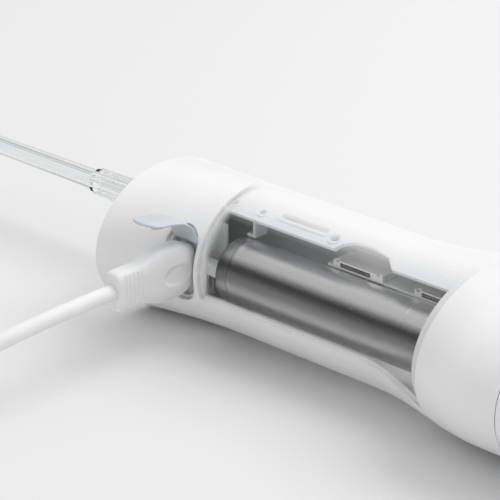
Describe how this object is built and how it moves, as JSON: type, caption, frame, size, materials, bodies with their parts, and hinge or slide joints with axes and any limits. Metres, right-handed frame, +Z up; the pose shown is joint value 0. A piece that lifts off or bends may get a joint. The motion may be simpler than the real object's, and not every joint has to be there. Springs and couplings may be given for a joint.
{
  "type": "cordless ear cleaner",
  "caption": "Cordless water-jet ear cleaner with a fluted clear tip, flared tank base, see-through middle showing its cell and drive, and a charging lead plugged into its side port.",
  "frame": {"origin": "under the middle of the object without its lead, on the surface that the handle lies on", "axes": "+X from the spray tip to the base, the charging port faces -Y, +Z up as the handle lies on its side"},
  "size_m": [0.2832, 0.1617, 0.048],
  "materials": {
    "white_shell": "satin moulded white, fine orange-peel",
    "clear_sleeve": "clear to milky moulded window",
    "clear_tip": "clear polished",
    "steel_can": "turned and plated steel",
    "plated_metal": "bright nickel plate",
    "dark_contact": "dark tarnished strips",
    "grey_frame": "pale grey moulded, matte",
    "drive_plastic": "mid grey engineering plastic",
    "grey_sleeve": "smooth grey soft sleeve",
    "frosted_block": "frosted natural nylon",
    "connector_white": "ivory white connector nylon",
    "board": "white solder mask on glass epoxy",
    "switch_black": "black switch housings",
    "button_grey": "smooth pale grey",
    "soft_rubber": "soft blue-grey silicone",
    "hose": "translucent silicone hose",
    "filter_white": "white strainer",
    "wire": "insulated hook-up wire",
    "soft_white": "soft matte white jacket",
    "tie": "dark grey strap"
  },
  "bodies": {
    "housing": {"head_cap": "white_shell", "front_casing": "white_shell", "rear_casing": "white_shell", "window_sleeve": "clear_sleeve", "suction_tube": "clear_tip", "battery_cell": "steel_can", "cell_cup": "steel_can", "motor_can": "steel_can", "cell_tab_front": "plated_metal", "deck_screws": "plated_metal", "flap_pin": "plated_metal", "usb_receptacle": "plated_metal", "connector_rails": "dark_contact", "chassis": "grey_frame", "bulkhead": "grey_frame", "cell_stop": "grey_frame", "tank_deck": "grey_frame", "port_cup": "grey_frame", "tip_socket": "grey_frame", "pump_body": "drive_plastic", "pump_frame": "drive_plastic", "wobble_plate": "drive_plastic", "motor_endcap": "drive_plastic", "damper_sleeve": "grey_sleeve", "terminal_block": "frosted_block", "light_pipe": "frosted_block", "connector_front": "connector_white", "connector_rear": "connector_white", "power_board": "board", "control_board": "board", "charge_board": "board", "tact_switches": "switch_black", "tank_seal": "soft_rubber", "diaphragm": "soft_rubber", "outlet_hose": "hose", "suction_hose": "hose", "suction_filter": "filter_white", "motor_leads": "wire", "cell_leads": "wire"},
    "dial": {"tip_dial": "white_shell"},
    "tip": {"tip_nozzle": "clear_tip", "tip_seal_ring": "soft_rubber"},
    "rotor": {"motor_shaft": "steel_can", "eccentric": "drive_plastic"},
    "flap": {"port_flap": "soft_rubber"},
    "power_button": {"power_button": "button_grey"},
    "mode_button": {"mode_button": "button_grey"},
    "tank": {"water_tank": "white_shell", "base_pad": "soft_rubber", "fill_lid_pin": "plated_metal"},
    "lid": {"fill_lid": "button_grey", "lid_seal": "soft_rubber"},
    "lead": {"plug_body": "soft_white", "plug_shell": "plated_metal", "charging_cord": "soft_white", "cord_coil": "soft_white", "cord_tie": "tie", "cord_tail": "soft_white", "far_plug_body": "soft_white", "far_plug_shell": "plated_metal"}
  },
  "joints": [
    {"name": "tip_spin", "type": "hinge", "parent": "housing", "child": "dial", "pos_m": [-0.0396, 0.00804, 0.02205], "axis": [1, 0, 0], "continuous": true},
    {"name": "tip_pull", "type": "slide", "parent": "dial", "child": "tip", "axis": [-1, 0, 0], "range_m": [0, 0.018]},
    {"name": "flap_hinge", "type": "hinge", "parent": "housing", "child": "flap", "pos_m": [-0.015, -0.01856, 0.03035], "axis": [-1, 0, 0], "range_deg": [-9, 12]},
    {"name": "plug_pull", "type": "slide", "parent": "housing", "child": "lead", "axis": [0, -1, 0], "range_m": [0, 0.01]},
    {"name": "power_press", "type": "slide", "parent": "housing", "child": "power_button", "axis": [0, -1, 0], "range_m": [0, 0.0008], "stiffness_N_per_m": 1500},
    {"name": "mode_press", "type": "slide", "parent": "housing", "child": "mode_button", "axis": [0, -1, 0], "range_m": [0, 0.0008], "stiffness_N_per_m": 1500},
    {"name": "tank_slide", "type": "slide", "parent": "housing", "child": "tank", "axis": [1, 0, 0], "range_m": [0, 0.04]},
    {"name": "lid_hinge", "type": "hinge", "parent": "tank", "child": "lid", "pos_m": [0.1301, 0.00004, 0.04665], "axis": [0, 1, 0], "range_deg": [0, 100]},
    {"name": "motor_spin", "type": "hinge", "parent": "housing", "child": "rotor", "pos_m": [-0.0396, 0.00984, 0.02005], "axis": [1, 0, 0], "continuous": true}
  ]
}
